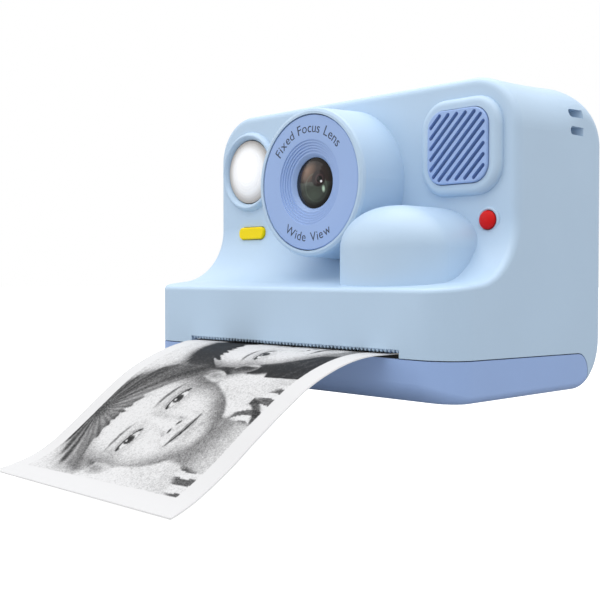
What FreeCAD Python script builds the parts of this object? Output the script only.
# Kids instant camera that prints on thermal paper. Millimetres.
# +Z is up, the lens looks along -Y, and +X is to the right seen from the front.
# The origin is midway across the body and 26 mm behind the chin's front, on the flat
# underside of the paper door.
import FreeCAD, Part
import math
import os

V = FreeCAD.Vector

# ---- driving dimensions -------------------------------------------------------------
HALF_W = 44.5            # half of the body's width
HEIGHT = 62.5
CHIN_Y = -26.0           # front of the chin, where the slot is
FACE_Y = -5.0            # upper front face, behind the chin
BACK_Y = 26.8
COVER_Y = 26.0           # the rear cover sits a little deeper than the back
WALL = 1.8
GAP = 0.2                # between the door and the housing
FIT = 0.15               # round buttons, plates and covers in their holes

LEDGE_Z = 21.0           # top of the chin
LEDGE_SLOPE = math.radians(6)
COVE_R = 13.2            # concave sweep from the ledge up to the face
BACK_TOP_R = 12.0
BACK_LOW_R = 10.5
CHIN_CORNER_R = 7.1
TOP_CORNER_R = 10.8
TOP_CORNER_BACK_R = 8.8
BACK_CORNER_R = 2.6
LOW_CORNER_R = 3.6
LOW_CORNER_BACK_R = 1.4
FACE_EDGE_R = 1.6
CHIN_EDGE_R = 1.0

DOOR_Z = 7.95            # top edge of the door at the front
DOOR_BACK_Z = 7.25       # and at the hinge
HINGE_Y, HINGE_Z = 16.9, 3.5
DOOR_END_R = 3.75        # the door's rear end turns about the hinge

SLOT_X0, SLOT_X1 = -29.4, 33.0
SLOT_TOP_Z = 9.7
TOOTH, TOOTH_PITCH = 0.65, 1.0   # saw edge that tears the paper
PAPER_Z = 8.65           # middle of the paper where it leaves the slot
PAPER_T = 0.2
TEAR_TOP_Z = 10.35
PAPER_X0, PAPER_X1 = -27.6, 29.9
LEAD_END_Y = -15.0       # where the still paper hands over to the moving print
FLEX_Y = -27.5           # the print bends about this line, just outside the slot

LENS_Z = 43.3
LENS_FRONT_Y = -17.2
DISC_R = 14.4
RIM_R = 15.9
RIM_BASE_R = 16.4
GLASS_R = 5.4
GROOVE_OUT_R, GROOVE_IN_R, GROOVES = 9.1, 6.3, 5

FLASH_X, FLASH_Z = -33.1, 48.9
FLASH_R, FLASH_BEZEL_R = 7.7, 9.6
GRILLE_X, GRILLE_Z = 31.5, 48.9
GRILLE_SIZE, BEZEL_SIZE = 14.7, 19.4
RED_X, RED_Z, RED_R = 37.8, 34.2, 1.85
YELLOW_X, YELLOW_Z, YELLOW_W, YELLOW_H = -31.95, 33.8, 9.0, 2.95
GRIP_X0, GRIP_X1, GRIP_TOP_Z, GRIP_Y, GRIP_R = 9.8, 36.0, 37.3, -23.5, 8.5
GRIP_STRETCH = 1.45      # its ends are rounded over a longer stretch than its top

ROLL_Y, ROLL_Z, ROLL_R, CORE_R = 3.5, 17.0, 12.0, 6.0
PLATEN_Y, PLATEN_Z, PLATEN_R, SHAFT_R = -19.0, 5.5, 3.0, 1.25
MODULE = 0.4             # gear module
PLATEN_TEETH, IDLER_TEETH, PINION_TEETH = 15, 30, 12
MESH_SLACK = 0.05        # added to each gear pair's centre distance
GEAR_X0, GEAR_X1 = 37.5, 39.6
IDLER_DIRECTION = math.radians(60)
MOTOR_DIRECTION = math.radians(10)

FRAME_POST_X, FRAME_POST_Y = (-30.5, 4.0), -18.0   # screw posts that hold the printer's frame
CASE_SCREW_X, CASE_SCREW_Z = 34.3, (14.2, 49.3)    # screws through the rear cover
BOARD_SCREW_X, BOARD_SCREW_Z = 37.2, (13.4, 44.2)  # and through the main board
PILOT_R = 0.8            # hole that a screw cuts its thread in

COVER_HALF_W, COVER_Z0, COVER_Z1 = 36.5, 12.0, 51.5
SCREEN_X0, SCREEN_X1, SCREEN_Z0, SCREEN_Z1 = -12.5, 29.5, 16.0, 47.0
BOARD_Y0, BOARD_Y1 = 17.0, 18.2
PAD_X, PAD_Z, PAD_STEP = -24.0, 34.0, 6.2

FLAP_Y0, FLAP_Y1, FLAP_Z0, FLAP_Z1, FLAP_T = 11.7, 18.7, 16.5, 42.0, 1.2


# ---- small helpers ------------------------------------------------------------------
def box(x0, x1, y0, y1, z0, z1):
    return Part.makeBox(x1 - x0, y1 - y0, z1 - z0, V(x0, y0, z0))


def rod_x(r, x0, x1, y, z):
    return Part.makeCylinder(r, x1 - x0, V(x0, y, z), V(1, 0, 0))


def rod_y(r, y0, y1, x, z):
    return Part.makeCylinder(r, y1 - y0, V(x, y0, z), V(0, 1, 0))


def rod_z(r, z0, z1, x, y):
    return Part.makeCylinder(r, z1 - z0, V(x, y, z0), V(0, 0, 1))


def ring_y(r_out, r_in, y0, y1, x, z):
    return rod_y(r_out, y0, y1, x, z).cut(rod_y(r_in, y0 - 1, y1 + 1, x, z))


def polygon_x(points, x0, x1):
    """A prism along X from points given as (y, z)."""
    loop = [V(x0, y, z) for y, z in points]
    return Part.Face(Part.makePolygon(loop + loop[:1])).extrude(V(x1 - x0, 0, 0))


def turned_y(points, x, z):
    """A solid of revolution about the line through (x, z) along Y, from points given as (r, y)."""
    loop = [V(x + r, y, z) for r, y in points]
    face = Part.Face(Part.makePolygon(loop + loop[:1]))
    return face.revolve(V(x, 0, z), V(0, 1, 0), 360)


def along(edge, axis):
    """True for a straight edge that runs along the given axis."""
    run = edge.valueAt(edge.LastParameter) - edge.valueAt(edge.FirstParameter)
    return abs(abs(run.dot(axis)) - edge.Length) < 1e-6


def soft_box(x0, x1, y0, y1, z0, z1, corner, front=0.0):
    """A plate seen from the front, with round corners and, if asked, a rounded front edge."""
    solid = box(x0, x1, y0, y1, z0, z1)
    solid = solid.makeFillet(corner, [e for e in solid.Edges if along(e, V(0, 1, 0))])
    if front:
        rim = [e for e in solid.Edges if e.BoundBox.YMax < y0 + 1e-6]
        solid = solid.makeFillet(front, rim)
    return solid


def both_sides(x, heights):
    """The places (x, z) left and right at each height."""
    return [(side * x, z) for side in (-1, 1) for z in heights]


def near(a, b):
    return abs(a - b) < 0.02


def fuse_all(first, *others):
    return first.multiFuse(list(others)).removeSplitter()


def in_doc_fillet(shape, radii_of):
    """Fillet with a start and an end radius for each edge; radii_of gives them or None."""
    doc = FreeCAD.newDocument()
    source = doc.addObject("Part::Feature", "source")
    source.Shape = shape
    fillet = doc.addObject("Part::Fillet", "fillet")
    fillet.Base = source
    radii = [radii_of(edge) for edge in shape.Edges]
    fillet.Edges = [(n + 1, *pair) for n, pair in enumerate(radii) if pair]
    doc.recompute()
    result = fillet.Shape.copy()
    FreeCAD.closeDocument(doc.Name)
    return result


# ---- the body's outer form ----------------------------------------------------------
def arc_x(y, z, r, start, end):
    points = [V(0, y + r * math.cos(a), z + r * math.sin(a)) for a in (start, (start + end) / 2, end)]
    return Part.Arc(*points).toShape()


def line_x(start, end):
    return Part.makeLine(V(0, *start), V(0, *end))


def side_outline(inset):
    """The body seen from the side, inset by a wall thickness: chin, ledge, cove, face, top and back."""
    front, back, face = CHIN_Y + inset, BACK_Y - inset, FACE_Y + inset
    low, high = inset, HEIGHT - inset
    rise = math.tan(LEDGE_SLOPE)
    cove_y = FACE_Y - COVE_R
    cove_z = LEDGE_Z + (cove_y - CHIN_Y) * rise + COVE_R / math.cos(LEDGE_SLOPE)
    cove_r = COVE_R + inset
    start = -math.pi / 2 + LEDGE_SLOPE
    cove_low = (cove_y + cove_r * math.cos(start), cove_z + cove_r * math.sin(start))
    ledge_z = LEDGE_Z + inset * rise - inset / math.cos(LEDGE_SLOPE)
    return Part.Wire([
        line_x((front, low), (front, ledge_z)),
        line_x((front, ledge_z), cove_low),
        arc_x(cove_y, cove_z, cove_r, start, 0),
        line_x((face, cove_z), (face, high)),
        line_x((face, high), (BACK_Y - BACK_TOP_R, high)),
        arc_x(BACK_Y - BACK_TOP_R, HEIGHT - BACK_TOP_R, BACK_TOP_R - inset, math.pi / 2, 0),
        line_x((back, HEIGHT - BACK_TOP_R), (back, BACK_LOW_R)),
        arc_x(BACK_Y - BACK_LOW_R, BACK_LOW_R, BACK_LOW_R - inset, 0, -math.pi / 2),
        line_x((BACK_Y - BACK_LOW_R, low), (front, low)),
    ])


def side_radii(inset):
    """The radii along the loop round each side of the body, larger at the top than at the bottom."""
    half, low, high, back = HALF_W - inset, inset, HEIGHT - inset, BACK_Y - inset
    r_low = max(LOW_CORNER_R - inset, 2.0)
    r_low_back = max(LOW_CORNER_BACK_R - inset, 0.6)
    r_back = max(BACK_CORNER_R - inset, 0.6)
    r_top_back = TOP_CORNER_BACK_R - inset
    r_top = TOP_CORNER_R - inset

    def rising(edge, axis, first, last):
        start = getattr(edge.valueAt(edge.FirstParameter), axis)
        end = getattr(edge.valueAt(edge.LastParameter), axis)
        forward = (start < end) != (edge.Orientation == "Reversed")
        return (first, last) if forward else (last, first)

    def radii(edge):
        b, c = edge.BoundBox, edge.CenterOfMass
        side = near(abs(c.x), half)
        if near(b.ZMin, low) and near(b.ZMax, low):
            if side:
                return rising(edge, "y", r_low, r_low_back)
            return (r_low, r_low) if c.y < 0 else None
        if not side:
            return None
        if near(b.ZMin, high):
            return rising(edge, "y", r_top, r_top_back)
        if near(b.YMax, back) and near(b.YMin, back):
            return (r_back, r_back)
        if near(b.YMax, back) and c.z > LENS_Z:
            return rising(edge, "z", r_back, r_top_back)
        if near(b.YMax, back):
            return rising(edge, "z", r_low_back, r_back)
        return None

    return radii


def body_form(inset):
    """The whole body as a solid block, inset by a wall thickness."""
    half = HALF_W - inset
    face = Part.Face(side_outline(inset))
    face.translate(V(-half, 0, 0))
    block = face.extrude(V(2 * half, 0, 0))
    chin = [e for e in block.Edges if along(e, V(0, 0, 1)) and near(e.BoundBox.YMin, CHIN_Y + inset)]
    block = block.makeFillet(CHIN_CORNER_R - inset, chin)
    return in_doc_fillet(block, side_radii(inset))


def edge_angle(edge, shape):
    """Degrees between the two faces that meet at an edge."""
    faces = shape.ancestorsOfType(edge, Part.Face)
    if len(faces) != 2:
        return 0.0
    point = edge.valueAt((edge.FirstParameter + edge.LastParameter) / 2)
    normals = [f.normalAt(*f.Surface.parameter(point)) for f in faces]
    return math.degrees(normals[0].getAngle(normals[1]))


def soften_rim(block):
    """Round the edge of the face, and less so the edge of the ledge and chin."""
    def radii(edge):
        if edge_angle(edge, block) < 20 or edge.BoundBox.ZMax < LEDGE_Z - 0.1:
            return None
        r = FACE_EDGE_R if edge.BoundBox.ZMin > LEDGE_Z + COVE_R else CHIN_EDGE_R
        return (r, r)
    return in_doc_fillet(block, radii)


def door_region(extra):
    """The space that the door fills, or with extra, the space it needs."""
    wide = HALF_W + 1
    pan = polygon_x([(CHIN_Y - 2, -1), (CHIN_Y - 2, DOOR_Z + extra),
                     (HINGE_Y, DOOR_BACK_Z + extra), (HINGE_Y, -1)], -wide, wide)
    return pan.fuse(rod_x(DOOR_END_R + extra, -wide, wide, HINGE_Y, HINGE_Z))


OUTER = body_form(0)
INNER = body_form(WALL)


# ---- front housing ------------------------------------------------------------------
def grip_block(inset):
    """The hump for the fingers, or with an inset, the hollow in it."""
    low = LEDGE_Z - 3 - 2 * inset
    back = FACE_Y + 1 + inset
    half = ((GRIP_X1 - GRIP_X0) / 2 - inset) / GRIP_STRETCH
    block = box(-half, half, GRIP_Y + inset, back, low, GRIP_TOP_Z - inset)
    soft = [e for e in block.Edges
            if e.BoundBox.YMax < back - 0.1 and e.BoundBox.ZMax > low + 0.1
            or along(e, V(0, 1, 0)) and e.BoundBox.ZMin > low + 0.1]
    block = block.makeFillet(GRIP_R - inset, soft)
    stretch = FreeCAD.Matrix()
    stretch.A11 = GRIP_STRETCH
    block = block.transformGeometry(stretch)
    block.translate(V((GRIP_X0 + GRIP_X1) / 2, 0, 0))
    return block


def lens_barrel_form():
    lip = 0.9
    return turned_y([(0, FACE_Y + 1), (RIM_BASE_R, FACE_Y + 1), (RIM_BASE_R, FACE_Y),
                     (RIM_R, LENS_FRONT_Y + lip), (RIM_R - 0.25, LENS_FRONT_Y + 0.3),
                     (RIM_R - 0.8, LENS_FRONT_Y), (0, LENS_FRONT_Y)], 0, LENS_Z)


def flash_bezel():
    """A soft raised ring round the flash."""
    width = FLASH_BEZEL_R - FLASH_R
    steps = 8
    crest = [(FLASH_R + FIT + width * n / steps, FACE_Y - 1.2 * math.sin(math.pi * n / steps) ** 0.8)
             for n in range(steps + 1)]
    base = [(FLASH_BEZEL_R + FIT, FACE_Y + 0.5), (FLASH_R + FIT, FACE_Y + 0.5)]
    return turned_y(crest + base, FLASH_X, FLASH_Z)


def grille_bezel():
    half = BEZEL_SIZE / 2
    hole = GRILLE_SIZE / 2 + FIT
    frame = soft_box(GRILLE_X - half, GRILLE_X + half, FACE_Y - 1.6, FACE_Y + 0.5,
                     GRILLE_Z - half, GRILLE_Z + half, 6.0, 1.4)
    recess = soft_box(GRILLE_X - hole, GRILLE_X + hole, FACE_Y - 5, FACE_Y + 0.3,
                      GRILLE_Z - hole, GRILLE_Z + hole, 3.8)
    return frame.cut(recess)


def strap_block(side):
    """Thick wall behind the strap bar, and the two slots and pocket cut in it."""
    inner, outer = sorted((side * 36.5, side * (HALF_W - 1)))
    return box(inner, outer, 12.0, 20.2, 50.4, 59.2).common(OUTER).cut(
        box(-36, 36, 0, 26, 40, 62))


def strap_cut(side):
    """Two slots with round front ends and slanted rear walls, joined behind the bar."""
    cuts = []
    deep, shallow = 38.4, 45.0
    for low in (52.0, 55.6):
        high = low + 1.7
        middle = (low + high) / 2
        slanted = [(deep, 14.4), (shallow, 14.4), (shallow, 18.6), (deep, 16.4)]
        loop = [V(side * x, y, low) for x, y in slanted]
        slot = Part.Face(Part.makePolygon(loop + loop[:1])).extrude(V(0, 0, high - low))
        x0, x1 = sorted((side * deep, side * shallow))
        cuts.append(slot.fuse(rod_x(0.85, x0, x1, 14.45, middle)))
    x0, x1 = sorted((side * deep, side * 41.0))
    pocket = box(x0, x1, 13.6, 16.4, 52.0, 57.3)
    return fuse_all(cuts[0], cuts[1], pocket)


def hinge_lug(side):
    """Housing lug that carries a door hinge pin."""
    x0, x1 = sorted((side * 37.3, side * 39.3))
    arm = polygon_x([(HINGE_Y, HINGE_Z - 2.2), (24, HINGE_Z - 2.2), (24, 9.0), (HINGE_Y + 2, 8.2),
                     (HINGE_Y, HINGE_Z + 2.2)], x0, x1)
    return arm.fuse(rod_x(2.2, x0, x1, HINGE_Y, HINGE_Z)).common(OUTER)


def screw_ribs():
    """Bosses and ribs that hold the rear cover, the main board and the printer frame."""
    parts = []
    for side in (-1, 1):
        for z in (14.2, 49.3):
            x0, x1 = sorted((side * 34.3, side * 43))
            parts.append(box(x0, x1, 19.2, 24.1, z - 0.8, z + 0.8))
            parts.append(rod_y(2.3, 19.2, 24.1, side * 34.3, z))
        for z in (13.4, 44.2):
            x0, x1 = sorted((side * 37.2, side * 43))
            parts.append(box(x0, x1, 10.5, BOARD_Y0, z - 0.8, z + 0.8))
            parts.append(rod_y(2.0, 10.5, BOARD_Y0, side * 37.2, z))
    for x in FRAME_POST_X:
        parts.append(rod_z(2.0, 13.2, 20.5, x, -18.0))
    return [p.common(OUTER) for p in parts]


def pilot_holes():
    holes = [rod_y(PILOT_R, 19.5, 24.5, x, z) for x, z in both_sides(CASE_SCREW_X, CASE_SCREW_Z)]
    holes += [rod_y(PILOT_R, 12.0, 17.5, x, z) for x, z in both_sides(BOARD_SCREW_X, BOARD_SCREW_Z)]
    holes += [rod_z(PILOT_R, 12.0, 17.8, x, FRAME_POST_Y) for x in FRAME_POST_X]
    return holes


def tear_groove():
    return box(SLOT_X0, SLOT_X1, CHIN_Y + 0.3, CHIN_Y + 1.1, SLOT_TOP_Z - 0.5, TEAR_TOP_Z + 0.05)


def port_openings():
    recess = box(-HALF_W - 1, -HALF_W + FLAP_T + FIT, FLAP_Y0 - FIT, FLAP_Y1 + FIT,
                 FLAP_Z0 - FIT, FLAP_Z1 + FIT)
    usb = box(-45, -41, 13.55, 16.85, 17.9, 27.1)
    card = box(-45, -41, 15.3, 16.9, 29.5, 41.3)
    return [recess, usb, card]


def cover_opening(extra):
    return soft_box(-COVER_HALF_W - extra, COVER_HALF_W + extra, 23.0, BACK_Y + 1,
                    COVER_Z0 - extra, COVER_Z1 + extra, 4.0)


def front_housing():
    shell = soften_rim(OUTER)
    shell = shell.multiFuse([grip_block(0), lens_barrel_form(), flash_bezel()])
    shell = shell.cut(fuse_all(INNER, grip_block(WALL)))
    shell = shell.multiFuse([strap_block(-1), strap_block(1), *screw_ribs()])
    shell = shell.cut(soft_box(GRILLE_X - 9, GRILLE_X + 9, FACE_Y - 3, FACE_Y + 0.3,
                               GRILLE_Z - 9, GRILLE_Z + 9, 5.0))
    shell = shell.fuse(grille_bezel())
    half = GRILLE_SIZE / 2 - 1.2
    shell = shell.cut([
        strap_cut(-1), strap_cut(1), *pilot_holes(), *port_openings(),
        door_region(GAP),
        box(SLOT_X0, SLOT_X1, CHIN_Y - 2, CHIN_Y + WALL + 1, DOOR_Z, SLOT_TOP_Z),
        tear_groove(),
        cover_opening(FIT),
        rod_y(DISC_R + 0.2, LENS_FRONT_Y - 1, -14.1, 0, LENS_Z),
        rod_y(6.7, -14.5, -12.0, 0, LENS_Z),
        rod_y(13.9, -12.7, -2.0, 0, LENS_Z),
        rod_y(FLASH_R + FIT, FACE_Y - 4, FACE_Y + WALL + 1, FLASH_X, FLASH_Z),
        rod_y(RED_R + FIT, FACE_Y - 2, FACE_Y + WALL + 1, RED_X, RED_Z),
        soft_box(YELLOW_X - YELLOW_W / 2 - FIT, YELLOW_X + YELLOW_W / 2 + FIT, FACE_Y - 2,
                 FACE_Y + WALL + 1, YELLOW_Z - YELLOW_H / 2 - FIT, YELLOW_Z + YELLOW_H / 2 + FIT, 1.45),
        soft_box(GRILLE_X - half, GRILLE_X + half, FACE_Y - 1, FACE_Y + WALL + 1,
                 GRILLE_Z - half, GRILLE_Z + half, 3.0),
    ])
    shell = shell.fuse(turned_y([(RED_R + FIT, FACE_Y + 0.4), (RED_R + FIT, FACE_Y - 0.25),
                                 (RED_R + 0.4, FACE_Y - 0.35), (RED_R + 0.75, FACE_Y - 0.2),
                                 (RED_R + 0.9, FACE_Y + 0.4)], RED_X, RED_Z))
    lugs = [hinge_lug(side).cut(rod_x(1.0, -50, 50, HINGE_Y, HINGE_Z)) for side in (-1, 1)]
    return shell.multiFuse(lugs)


# ---- front trim ---------------------------------------------------------------------
def tear_bar():
    """A saw edge for tearing the paper: a bar in a groove, with small teeth pointing down."""
    x0, x1 = SLOT_X0 + 0.2, SLOT_X1 - 0.2
    count = int((x1 - x0) / TOOTH_PITCH)
    first = (x0 + x1 - count * TOOTH_PITCH) / 2
    edge = [(x0, SLOT_TOP_Z)]
    for n in range(count):
        edge.append((first + n * TOOTH_PITCH, SLOT_TOP_Z))
        edge.append((first + (n + 0.5) * TOOTH_PITCH, SLOT_TOP_Z - TOOTH))
    edge += [(first + count * TOOTH_PITCH, SLOT_TOP_Z), (x1, SLOT_TOP_Z)]
    loop = [(x0, TEAR_TOP_Z)] + edge + [(x1, TEAR_TOP_Z)]
    loop = [V(x, CHIN_Y + 0.35, z) for x, z in loop]
    return Part.Face(Part.makePolygon(loop + loop[:1])).extrude(V(0, 0.7, 0))


def lens_ring():
    """Face disc with concentric grooves that step inwards, and a smooth inner cone to the glass."""
    step = (GROOVE_OUT_R - GROOVE_IN_R) / GROOVES
    y = LENS_FRONT_Y + 0.15
    front = [(DISC_R, y + 0.2), (DISC_R - 0.2, y), (GROOVE_OUT_R, y)]
    for n in range(GROOVES):
        r = GROOVE_OUT_R - n * step
        front += [(r - 0.06, y + 0.24), (r - step, y + 0.20)]
        y += 0.20
    front += [(GLASS_R + 0.1, LENS_FRONT_Y + 1.9), (GLASS_R + 0.1, -14.15)]
    return turned_y([(DISC_R, -14.15)] + front, 0, LENS_Z)


def lens_glass():
    """Front lens element: a dome with a flat back."""
    depth, sag, steps = -14.6, 1.0, 7
    sphere_r = (GLASS_R ** 2 + sag ** 2) / (2 * sag)
    reach = math.asin(GLASS_R / sphere_r)
    edge_y = LENS_FRONT_Y + 1.95
    apex_y = edge_y - sag
    angles = [reach * n / steps for n in range(steps + 1)]
    dome = [(sphere_r * math.sin(a), apex_y + sphere_r * (1 - math.cos(a))) for a in angles]
    return turned_y(dome + [(GLASS_R, depth), (0, depth)], 0, LENS_Z)


def lens_barrel():
    tube = ring_y(6.5, 4.4, -14.1, -1.95, 0, LENS_Z)
    flange = ring_y(8.4, 6.4, -12.6, -11.4, 0, LENS_Z)
    stop = ring_y(4.6, 2.0, -10.5, -9.7, 0, LENS_Z)
    return fuse_all(tube, flange, stop)


def rear_lens():
    return turned_y([(0, -8.0), (2.4, -7.6), (4.35, -6.6), (4.35, -5.2), (0, -5.2)], 0, LENS_Z)


def sensor_board():
    board = box(-8.5, 8.5, -1.9, -0.9, LENS_Z - 8.5, LENS_Z + 8.5)
    return board.fuse(box(-3.2, 3.2, -2.9, -1.9, LENS_Z - 2.6, LENS_Z + 2.6))


def flash_lens():
    rim, crown, steps = FLASH_R - 0.05, 1.15, 6
    shares = [n / steps for n in range(steps + 1)]
    dome = [(rim * t, FACE_Y - 0.15 - crown * math.cos(math.pi / 2 * t)) for t in shares]
    return turned_y(dome + [(rim, FACE_Y + 1.0), (0, FACE_Y + 1.0)], FLASH_X, FLASH_Z)


def flash_reflector():
    return turned_y([(7.4, -3.9), (7.6, -3.9), (3.2, 1.0), (2.6, 1.0), (2.6, 0.5)], FLASH_X, FLASH_Z)


def flash_board():
    board = box(FLASH_X - 7.5, FLASH_X + 7.5, 1.1, 2.1, FLASH_Z - 7.0, FLASH_Z + 7.0)
    return board.fuse(box(FLASH_X - 1.7, FLASH_X + 1.7, 0.2, 1.1, FLASH_Z - 1.7, FLASH_Z + 1.7))


def grille_slots():
    """Eleven slanted slots with round ends, kept inside a square margin."""
    width, pitch, limit, longest = 0.8, 1.5, GRILLE_SIZE / 2 - 0.95, 8.1
    run = V(1, 0, 1).normalize()
    across = V(1, 0, -1).normalize()
    slots = []
    for n in range(-5, 6):
        middle = across * (n * pitch)
        reach = min((limit - abs(middle.x)) / run.x, longest)
        centre = V(GRILLE_X, 0, GRILLE_Z) + middle
        ends = [centre - run * reach, centre + run * reach]
        half = across * (width / 2)
        loop = [ends[0] - half, ends[1] - half, ends[1] + half, ends[0] + half]
        loop = [V(p.x, FACE_Y - 3, p.z) for p in loop]
        slots.append(Part.Face(Part.makePolygon(loop + loop[:1])).extrude(V(0, 4, 0)))
        slots += [rod_y(width / 2, FACE_Y - 3, FACE_Y + 1, p.x, p.z) for p in ends]
    return slots


def speaker_grille():
    half = GRILLE_SIZE / 2
    plate = soft_box(GRILLE_X - half, GRILLE_X + half, FACE_Y - 2.1, FACE_Y + 0.25,
                     GRILLE_Z - half, GRILLE_Z + half, 3.65, 0.3)
    return plate.cut(grille_slots())


def speaker():
    return turned_y([(7.0, -2.9), (7.3, -2.9), (7.3, 0.2), (3.4, 0.9), (3.4, 2.4), (0, 2.4),
                     (0, -1.6), (2.4, -1.3), (6.4, -2.3)], GRILLE_X, GRILLE_Z)


# ---- buttons ------------------------------------------------------------------------
def shutter_button():
    """Domed red button with a flange inside the wall."""
    angles = (0, 0.35, 0.7, 1.05, math.pi / 2)
    dome = [(RED_R * math.sin(a), FACE_Y - 0.55 - 0.6 * math.cos(a)) for a in angles]
    return turned_y(dome + [(RED_R, -3.05), (2.6, -3.05), (2.6, -2.5), (0, -2.5)], RED_X, RED_Z)


def timer_button():
    cap = soft_box(YELLOW_X - YELLOW_W / 2, YELLOW_X + YELLOW_W / 2, FACE_Y - 0.9, -2.5,
                   YELLOW_Z - YELLOW_H / 2, YELLOW_Z + YELLOW_H / 2, 1.3, 0.4)
    flange = box(YELLOW_X - 5.8, YELLOW_X + 5.8, -3.05, -2.5, YELLOW_Z - 1.65, YELLOW_Z + 2.4)
    return cap.fuse(flange)


def button_boards():
    return [box(36.0, 41.8, -1.0, 0.0, 31.0, 38.0), box(-37.0, -25.6, -1.0, 0.0, 31.0, 37.0)]


def front_switches():
    return [box(x - 1.6, x + 1.6, -2.0, -1.0, z - 1.6, z + 1.6)
            for x, z in ((RED_X, RED_Z), (YELLOW_X, YELLOW_Z))]


KEYS = {  # name: (x, z, radius)
    "ok_key": (PAD_X, PAD_Z, 2.4),
    "up_key": (PAD_X, PAD_Z + PAD_STEP, 1.9),
    "down_key": (PAD_X, PAD_Z - PAD_STEP, 1.9),
    "left_key": (PAD_X + PAD_STEP, PAD_Z, 1.9),
    "right_key": (PAD_X - PAD_STEP, PAD_Z, 1.9),
    "power_key": (PAD_X - 6.0, PAD_Z + 12.6, 2.0),
    "menu_key": (PAD_X + 6.0, PAD_Z + 12.6, 2.0),
    "play_key": (PAD_X, PAD_Z - 13.4, 2.0),
}


def key_cap(x, z, r):
    """A rear key: a crowned cap, a flange behind the cover and a stem towards its switch."""
    crown = [(0, 26.75), (r * 0.6, 26.65), (r * 0.9, 26.45), (r, 26.1)]
    body = [(r, 23.8), (r + 0.6, 23.8), (r + 0.6, 23.1), (0.9, 23.1), (0.9, 20.75), (0, 20.75)]
    return turned_y(crown + body, x, z)


def rear_switches():
    return [box(x - 1.7, x + 1.7, BOARD_Y1, 20.1, z - 1.7, z + 1.7) for x, z, r in KEYS.values()]


# ---- rear ---------------------------------------------------------------------------
def rear_cover():
    plate = soft_box(-COVER_HALF_W, COVER_HALF_W, COVER_Y - 1.8, COVER_Y, COVER_Z0, COVER_Z1, 4.0)
    plate = plate.cut(soft_box(SCREEN_X0, SCREEN_X1, 24.9, 27.0, SCREEN_Z0, SCREEN_Z1, 1.5))
    plate = plate.cut(box(SCREEN_X0 + 2, SCREEN_X1 - 2, 24.0, 27.0, SCREEN_Z0 + 2, SCREEN_Z1 - 2))
    for x, z, r in KEYS.values():
        plate = plate.cut(rod_y(r + FIT, 24.0, 27.0, x, z))
    for side in (-1, 1):
        for z in (14.2, 49.3):
            plate = plate.cut(rod_y(1.0, 24.0, 27.0, side * 34.3, z))
            plate = plate.cut(rod_y(1.9, 25.0, 27.0, side * 34.3, z))
    return plate


def screen_window():
    return soft_box(SCREEN_X0 + 0.1, SCREEN_X1 - 0.1, 24.92, 25.9, SCREEN_Z0 + 0.1, SCREEN_Z1 - 0.1, 1.4)


def lcd_module():
    panel = box(SCREEN_X0 - 1.5, SCREEN_X1 + 1.5, 21.0, 23.4, SCREEN_Z0 - 1.5, SCREEN_Z1 + 1.5)
    frame = box(SCREEN_X0 - 2.5, SCREEN_X1 + 1.9, 19.4, 21.0, SCREEN_Z0 - 2.0, SCREEN_Z1 + 1.7)
    return panel.fuse(frame)


def main_board():
    board = box(-40.6, 40.6, BOARD_Y0, BOARD_Y1, 11.6, 55.0)
    for side in (-1, 1):
        for z in (13.4, 44.2):
            board = board.cut(rod_y(1.1, BOARD_Y0 - 1, BOARD_Y1 + 1, side * 37.2, z))
        x0, x1 = sorted((side * 36.3, side * 41))
        board = board.cut(box(x0, x1, BOARD_Y0 - 1, BOARD_Y1 + 1, 49.9, 56))
    return board


def board_parts():
    """Processor, memory, power chip and the printer's driver chip."""
    return [box(2, 14, 15.9, BOARD_Y0, 34, 46), box(18, 26, 16.1, BOARD_Y0, 38, 45),
            box(-16, -10, 16.0, BOARD_Y0, 40, 46), box(-4, 0, 16.2, BOARD_Y0, 48, 52)]


def usb_socket():
    shell = soft_box(17.95, 27.05, -42.5, -35.5, 13.6, 16.8, 1.5)
    shell = shell.cut(soft_box(18.25, 26.75, -43.0, -36.5, 13.9, 16.5, 1.2))
    tongue = box(19.2, 25.8, -41.5, -36.4, 14.85, 15.55)
    turned = shell.fuse(tongue)
    # built lying along Y with its width along X, then laid on the board facing -X
    turned.rotate(V(0, 0, 0), V(1, 1, 1), -120)
    return turned


def card_socket():
    tray = box(-41.0, -28.0, 15.1, BOARD_Y0, 29.6, 41.2)
    return tray.cut(box(-42, -28.8, 15.6, 16.5, 30.0, 40.8))


def memory_card():
    return box(-40.6, -30.0, 15.7, 16.4, 30.1, 40.7)


def battery():
    cell = box(-24, 24, 3.2, 8.0, 31.0, 57.5)
    return cell.makeFillet(1.6, [e for e in cell.Edges if along(e, V(0, 0, 1))])


def screw(x, y, z, direction, head_r, head_h, shank_r, length):
    """A pan-head screw with a cross recess; direction points from the head into the part."""
    head = Part.makeCylinder(head_r, head_h, V(x, y, z) - direction * head_h, direction)
    shank = Part.makeCylinder(shank_r, length, V(x, y, z), direction)
    up = V(1, 0, 0)
    aside = direction.cross(up)
    solid = head.fuse(shank)
    for a, b in ((up, aside), (aside, up)):
        corner = V(x, y, z) - direction * (head_h + 0.1)
        half_long, half_thin = head_r * 0.6, 0.22
        loop = [corner + a * (sa * half_long) + b * (sb * half_thin)
                for sa, sb in ((-1, -1), (1, -1), (1, 1), (-1, 1))]
        blade = Part.Face(Part.makePolygon(loop + loop[:1])).extrude(direction * (head_h * 0.7))
        solid = solid.cut(blade)
    return solid


def case_screws():
    return [screw(x, 25.0, z, V(0, -1, 0), 1.75, 0.9, 0.75, 5.2)
            for x, z in both_sides(CASE_SCREW_X, CASE_SCREW_Z)]


def board_screws():
    return [screw(x, BOARD_Y1, z, V(0, -1, 0), 1.7, 0.9, 0.75, 5.5)
            for x, z in both_sides(BOARD_SCREW_X, BOARD_SCREW_Z)]


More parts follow.
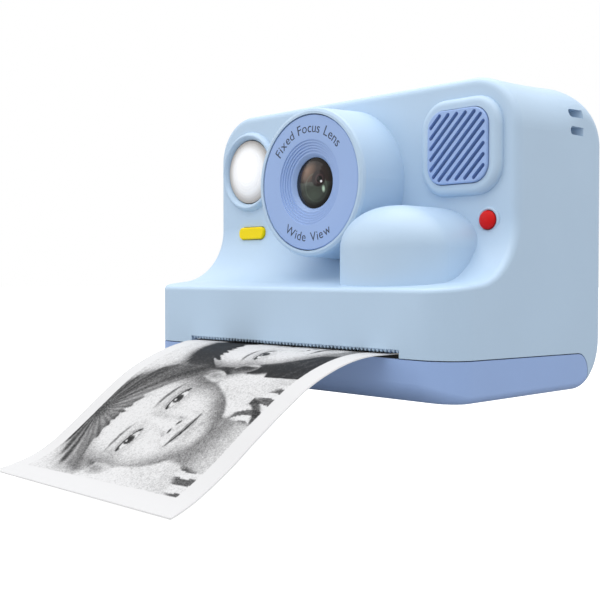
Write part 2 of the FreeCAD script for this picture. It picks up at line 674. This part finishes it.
def port_flap():
    """Rubber cover over the sockets: a plate with a round hinge edge and a lip for a fingernail."""
    x = -HALF_W + FLAP_T / 2
    hinge_y = FLAP_Y0 + FLAP_T / 2
    plate = box(-HALF_W, -HALF_W + FLAP_T, hinge_y, FLAP_Y1, FLAP_Z0, FLAP_Z1)
    corners = [e for e in plate.Edges if along(e, V(1, 0, 0)) and e.BoundBox.YMin > hinge_y + 1]
    plate = plate.makeFillet(1.0, corners)
    notch = rod_z(0.5, 26.5, 32.0, -HALF_W - 0.1, FLAP_Y1 - 0.9)
    return plate.cut(notch).fuse(rod_z(FLAP_T / 2, FLAP_Z0, FLAP_Z1, x, hinge_y)).removeSplitter()


# ---- printer ------------------------------------------------------------------------
def gear_outline(teeth, y, z, phase):
    """Points (y, z) of a gear with straight-sided teeth; one tooth is centred on phase."""
    pitch_r = MODULE * teeth / 2
    root_r, tip_r = pitch_r - 1.15 * MODULE, pitch_r + 0.9 * MODULE
    flank = math.tan(math.radians(20))
    half_tooth = math.pi * MODULE / 4 - 0.05
    points = []
    for n in range(teeth):
        middle = phase + 2 * math.pi * n / teeth
        for r, sign in ((root_r, -1), (tip_r, -1), (tip_r, 1), (root_r, 1)):
            half = half_tooth - (r - pitch_r) * flank
            a = middle + sign * half / r
            points.append((y + r * math.cos(a), z + r * math.sin(a)))
    return points


def gear(teeth, y, z, phase, bore_r, x0=GEAR_X0, x1=GEAR_X1):
    wheel = polygon_x(gear_outline(teeth, y, z, phase), x0, x1)
    return wheel.cut(rod_x(bore_r, x0 - 1, x1 + 1, y, z))


def gear_places():
    """Centres and tooth phases of the platen gear, idler and motor pinion, in mesh at rest."""
    first = MODULE * (PLATEN_TEETH + IDLER_TEETH) / 2 + MESH_SLACK
    idler = (PLATEN_Y + first * math.cos(IDLER_DIRECTION), PLATEN_Z + first * math.sin(IDLER_DIRECTION))
    second = MODULE * (IDLER_TEETH + PINION_TEETH) / 2 + MESH_SLACK
    motor = (idler[0] + second * math.cos(MOTOR_DIRECTION),
             idler[1] + second * math.sin(MOTOR_DIRECTION))
    platen_phase = IDLER_DIRECTION
    idler_phase = IDLER_DIRECTION + math.pi + math.pi / IDLER_TEETH
    teeth_to_motor = (MOTOR_DIRECTION - idler_phase) / (2 * math.pi / IDLER_TEETH)
    offset = (teeth_to_motor - round(teeth_to_motor)) * 2 * math.pi / IDLER_TEETH
    pinion_phase = MOTOR_DIRECTION + math.pi * (1 + 1 / PINION_TEETH) + offset * IDLER_TEETH / PINION_TEETH
    return idler, motor, platen_phase, idler_phase, pinion_phase


IDLER, MOTOR, PLATEN_PHASE, IDLER_PHASE, PINION_PHASE = gear_places()
CHEEK_X0, CHEEK_X1 = 36.5, 37.2
MOTOR_R = 7.4
BEAM_Z = 12.2            # underside of the printer frame's beam


def printer_frame():
    """Bent sheet-metal frame: a beam over the head, a cheek for the gears and an end foot."""
    y0, y1, low = -21.5, -13.8, 9.8
    beam = box(-33.5, CHEEK_X0, y0, y1, BEAM_Z, BEAM_Z + 1)
    cheek = polygon_x([(y0, low), (1.5, low), (1.5, 22.0), (-12.0, 19.4), (y0, 18.6)], CHEEK_X0, CHEEK_X1)
    foot = box(-34.2, -33.5, y0, y1, low, BEAM_Z + 1)
    frame = fuse_all(beam, cheek, foot)
    holes = [rod_x(r, CHEEK_X0 - 1, CHEEK_X1 + 1, *place) for r, place in ((2.1, MOTOR), (0.9, IDLER))]
    holes += [rod_z(1.0, BEAM_Z - 0.2, BEAM_Z + 1.3, x, FRAME_POST_Y) for x in FRAME_POST_X]
    return frame.cut(holes)


def frame_screws():
    return [screw(x, FRAME_POST_Y, BEAM_Z, V(0, 0, 1), 1.6, 0.7, 0.75, 5.0) for x in FRAME_POST_X]


def print_head():
    """Ceramic heater strip on an aluminium back plate."""
    sink = box(PAPER_X0, PAPER_X1, -22.0, -14.0, 9.6, 11.0)
    strip = box(PAPER_X0 + 1, PAPER_X1 - 1, -20.6, -17.4, PAPER_Z + PAPER_T / 2 + 0.03, 9.6)
    return sink.fuse(strip)


def head_springs():
    """Two short coil springs that press the head on the platen, drawn as stacked rings."""
    rings = []
    for x in (-14.0, 12.0):
        for n in range(3):
            rings.append(Part.makeTorus(1.5, 0.18, V(x, -18.0, 11.2 + 0.4 * n), V(0, 0, 1)))
    return rings


def stepper_motor():
    can = rod_x(MOTOR_R, 30.6, 36.3, *MOTOR)
    collar = rod_x(2.0, 36.3, CHEEK_X1, *MOTOR)
    ears = box(35.5, 36.3, MOTOR[0] - 1.6, MOTOR[0] + 1.6, MOTOR[1] - 8.6, MOTOR[1] + 8.6)
    return fuse_all(can, collar, ears).cut(rod_x(0.8, 33.0, 38.0, *MOTOR))


def motor_pinion():
    shaft = rod_x(0.75, 34.0, GEAR_X1 + 0.2, *MOTOR)
    return gear(PINION_TEETH, *MOTOR, PINION_PHASE, 0.5).fuse(shaft)


def idler_shaft():
    return rod_x(0.9, CHEEK_X0, GEAR_X1 + 0.3, *IDLER)


def idler_gear():
    return gear(IDLER_TEETH, *IDLER, IDLER_PHASE, 0.95)


def platen_roller():
    roller = rod_x(PLATEN_R, PAPER_X0 - 0.7, PAPER_X1 + 0.7, PLATEN_Y, PLATEN_Z)
    return roller.cut(rod_x(SHAFT_R, -40, 40, PLATEN_Y, PLATEN_Z))


def platen_shaft():
    return rod_x(SHAFT_R, -33.4, GEAR_X1 + 0.3, PLATEN_Y, PLATEN_Z)


def platen_gear():
    return gear(PLATEN_TEETH, PLATEN_Y, PLATEN_Z, PLATEN_PHASE, SHAFT_R)


BRACKETS, BUSH_R = ((-32.6, -31.1), (31.6, 33.1)), 2.0


def platen_bushes():
    bore = rod_x(SHAFT_R + 0.05, -40, 40, PLATEN_Y, PLATEN_Z)
    return [rod_x(BUSH_R, x0, x1, PLATEN_Y, PLATEN_Z).cut(bore) for x0, x1 in BRACKETS]


def paper_roll():
    middle = rod_x(ROLL_R - 0.15, PAPER_X0, PAPER_X1, ROLL_Y, ROLL_Z)
    return middle.cut(rod_x(CORE_R, PAPER_X0 - 1, PAPER_X1 + 1, ROLL_Y, ROLL_Z))


def roll_core():
    core = rod_x(CORE_R, PAPER_X0, PAPER_X1, ROLL_Y, ROLL_Z)
    return core.cut(rod_x(CORE_R - 1.0, PAPER_X0 - 1, PAPER_X1 + 1, ROLL_Y, ROLL_Z))


def paper_lead():
    """The still stretch of paper, from the underside of the roll to the printing nip."""
    dy, dz = ROLL_Y - LEAD_END_Y, ROLL_Z - PAPER_Z
    distance = math.hypot(dy, dz)
    angle = math.atan2(dz, dy) - math.asin((ROLL_R + 0.1) / distance)
    length = math.sqrt(distance ** 2 - (ROLL_R + 0.1) ** 2)
    end = (LEAD_END_Y + length * math.cos(angle), PAPER_Z + length * math.sin(angle))
    half = PAPER_T / 2
    points = [(y, z + side) for side, (y, z) in
              ((half, (LEAD_END_Y, PAPER_Z)), (-half, (LEAD_END_Y, PAPER_Z)), (-half, end), (half, end))]
    return polygon_x(points, PAPER_X0, PAPER_X1)


def print_web():
    """The straight stretch of the print, through the nip and out of the slot."""
    half = PAPER_T / 2
    return box(PAPER_X0, PAPER_X1, FLEX_Y, LEAD_END_Y - 0.3, PAPER_Z - half, PAPER_Z + half)


PRINT_START, PRINT_BEND_R, PRINT_RUN, PRINT_LIFT_R = 0.3, 34.0, 15.0, 40.0
PRINT_FALL, PRINT_END = math.radians(37), math.radians(13)


def on_arc(centre, r, angle):
    return (centre[0] + r * math.cos(angle), centre[1] + r * math.sin(angle))


def print_face_edges(side):
    """One face of the print, seen from the side: a start, a bend, a straight run and a lift."""
    y, z = FLEX_Y - 0.1, PAPER_Z
    bend = (y - PRINT_START, z - PRINT_BEND_R)
    fall = on_arc(bend, PRINT_BEND_R, math.pi / 2 + PRINT_FALL)
    run = (-PRINT_RUN * math.cos(PRINT_FALL), -PRINT_RUN * math.sin(PRINT_FALL))
    low = (fall[0] + run[0], fall[1] + run[1])
    lift = on_arc(low, PRINT_LIFT_R, math.pi / 2 + PRINT_FALL)
    r_bend, r_lift = PRINT_BEND_R + side, PRINT_LIFT_R - side
    top, steep = math.pi / 2, math.pi / 2 + PRINT_FALL
    under, end = PRINT_FALL - math.pi / 2, PRINT_END - math.pi / 2
    return [
        line_x((y, z + side), on_arc(bend, r_bend, top)),
        arc_x(*bend, r_bend, top, steep),
        line_x(on_arc(bend, r_bend, steep), on_arc(lift, r_lift, under)),
        arc_x(*lift, r_lift, under, end),
    ]


def ends(edges):
    return edges[0].valueAt(edges[0].FirstParameter), edges[-1].valueAt(edges[-1].LastParameter)


def print_sheet():
    """The finished print outside the slot: it bends down, runs straight and lifts again at its end."""
    upper, lower = print_face_edges(PAPER_T / 2), print_face_edges(-PAPER_T / 2)
    caps = [Part.makeLine(a, b) for a, b in zip(ends(upper), ends(lower))]
    outline = Part.Wire(upper + [caps[1]] + lower[::-1] + [caps[0]])
    face = Part.Face(outline)
    face.translate(V(PAPER_X0, 0, 0))
    return face.extrude(V(PAPER_X1 - PAPER_X0, 0, 0))


# ---- paper door ---------------------------------------------------------------------
def door_lug(side):
    x0, x1 = sorted((side * 35.0, side * 36.9))
    lug = rod_x(2.5, x0, x1, HINGE_Y, HINGE_Z).fuse(box(x0, x1, HINGE_Y - 6, HINGE_Y + 1, 1.0, 3.6))
    return lug.cut(rod_x(1.06, -50, 50, HINGE_Y, HINGE_Z))


def hinge_notch(side):
    x0, x1 = sorted((side * 37.0, side * 39.6))
    return box(x0, x1, HINGE_Y - 2.8, HINGE_Y + 5, -1, 6)


def snap_tongues():
    """Springy tongues on the side walls that hold the door shut by friction."""
    return [box(side * 41.2 - 0.45, side * 41.2 + 0.45, -6.0, 0.0, 1.2, 11.0) for side in (-1, 1)]


def paper_door():
    pan = OUTER.common(door_region(0)).cut(INNER)
    brackets = []
    for x0, x1 in BRACKETS:
        plate = box(x0, x1, PLATEN_Y - 3.2, PLATEN_Y + 3.2, 1.0, PLATEN_Z + 0.5)
        plate = plate.fuse(rod_x(3.2, x0, x1, PLATEN_Y, PLATEN_Z))
        brackets.append(plate.cut(rod_x(BUSH_R, x0 - 1, x1 + 1, PLATEN_Y, PLATEN_Z)))
    ribs = [box(x - 0.6, x + 0.6, -12.0, 12.0, 1.0, 2.8) for x in (-22.0, 0.0, 22.0)]
    pan = fuse_all(pan, *brackets, *ribs, *snap_tongues(), door_lug(-1), door_lug(1))
    return pan.cut([hinge_notch(-1), hinge_notch(1)])


def door_hinge_pins():
    return [rod_x(1.0, *sorted((side * 34.6, side * 39.3)), HINGE_Y, HINGE_Z) for side in (-1, 1)]


# ---- write every sub-part -----------------------------------------------------------
PARTS = {
    "front_housing": front_housing, "tear_bar": tear_bar, "lens_ring": lens_ring,
    "lens_glass": lens_glass, "lens_barrel": lens_barrel, "rear_lens": rear_lens,
    "sensor_board": sensor_board, "flash_lens": flash_lens, "flash_reflector": flash_reflector,
    "flash_board": flash_board, "speaker_grille": speaker_grille, "speaker": speaker,
    "shutter_button": shutter_button, "timer_button": timer_button,
    "button_boards": button_boards, "front_switches": front_switches,
    "rear_cover": rear_cover, "screen_window": screen_window, "lcd_module": lcd_module,
    "main_board": main_board, "board_chips": board_parts, "rear_switches": rear_switches,
    "usb_socket": usb_socket, "card_socket": card_socket, "memory_card": memory_card,
    "battery": battery, "case_screws": case_screws, "board_screws": board_screws,
    "port_flap": port_flap, "printer_frame": printer_frame, "frame_screws": frame_screws,
    "print_head": print_head, "head_springs": head_springs, "stepper_motor": stepper_motor,
    "motor_pinion": motor_pinion, "idler_shaft": idler_shaft, "idler_gear": idler_gear,
    "platen_roller": platen_roller, "platen_shaft": platen_shaft, "platen_gear": platen_gear,
    "platen_bushes": platen_bushes, "paper_roll": paper_roll, "roll_core": roll_core,
    "paper_lead": paper_lead, "print_web": print_web, "print_sheet": print_sheet,
    "paper_door": paper_door, "door_hinge_pins": door_hinge_pins,
}


def write(name, shape):
    if isinstance(shape, list):
        shape = Part.makeCompound(shape)
    solids = shape.Solids
    print(f"{name:18s} solids {len(solids)} valid {shape.isValid()} volume {shape.Volume:.1f}")
    whole = solids[0] if len(solids) == 1 else Part.makeCompound(solids)
    whole.exportStep(f"parts/{name}.step")


os.makedirs("parts", exist_ok=True)
for part_name, make in PARTS.items():
    write(part_name, make())
for key_name, place in KEYS.items():
    write(key_name, key_cap(*place))
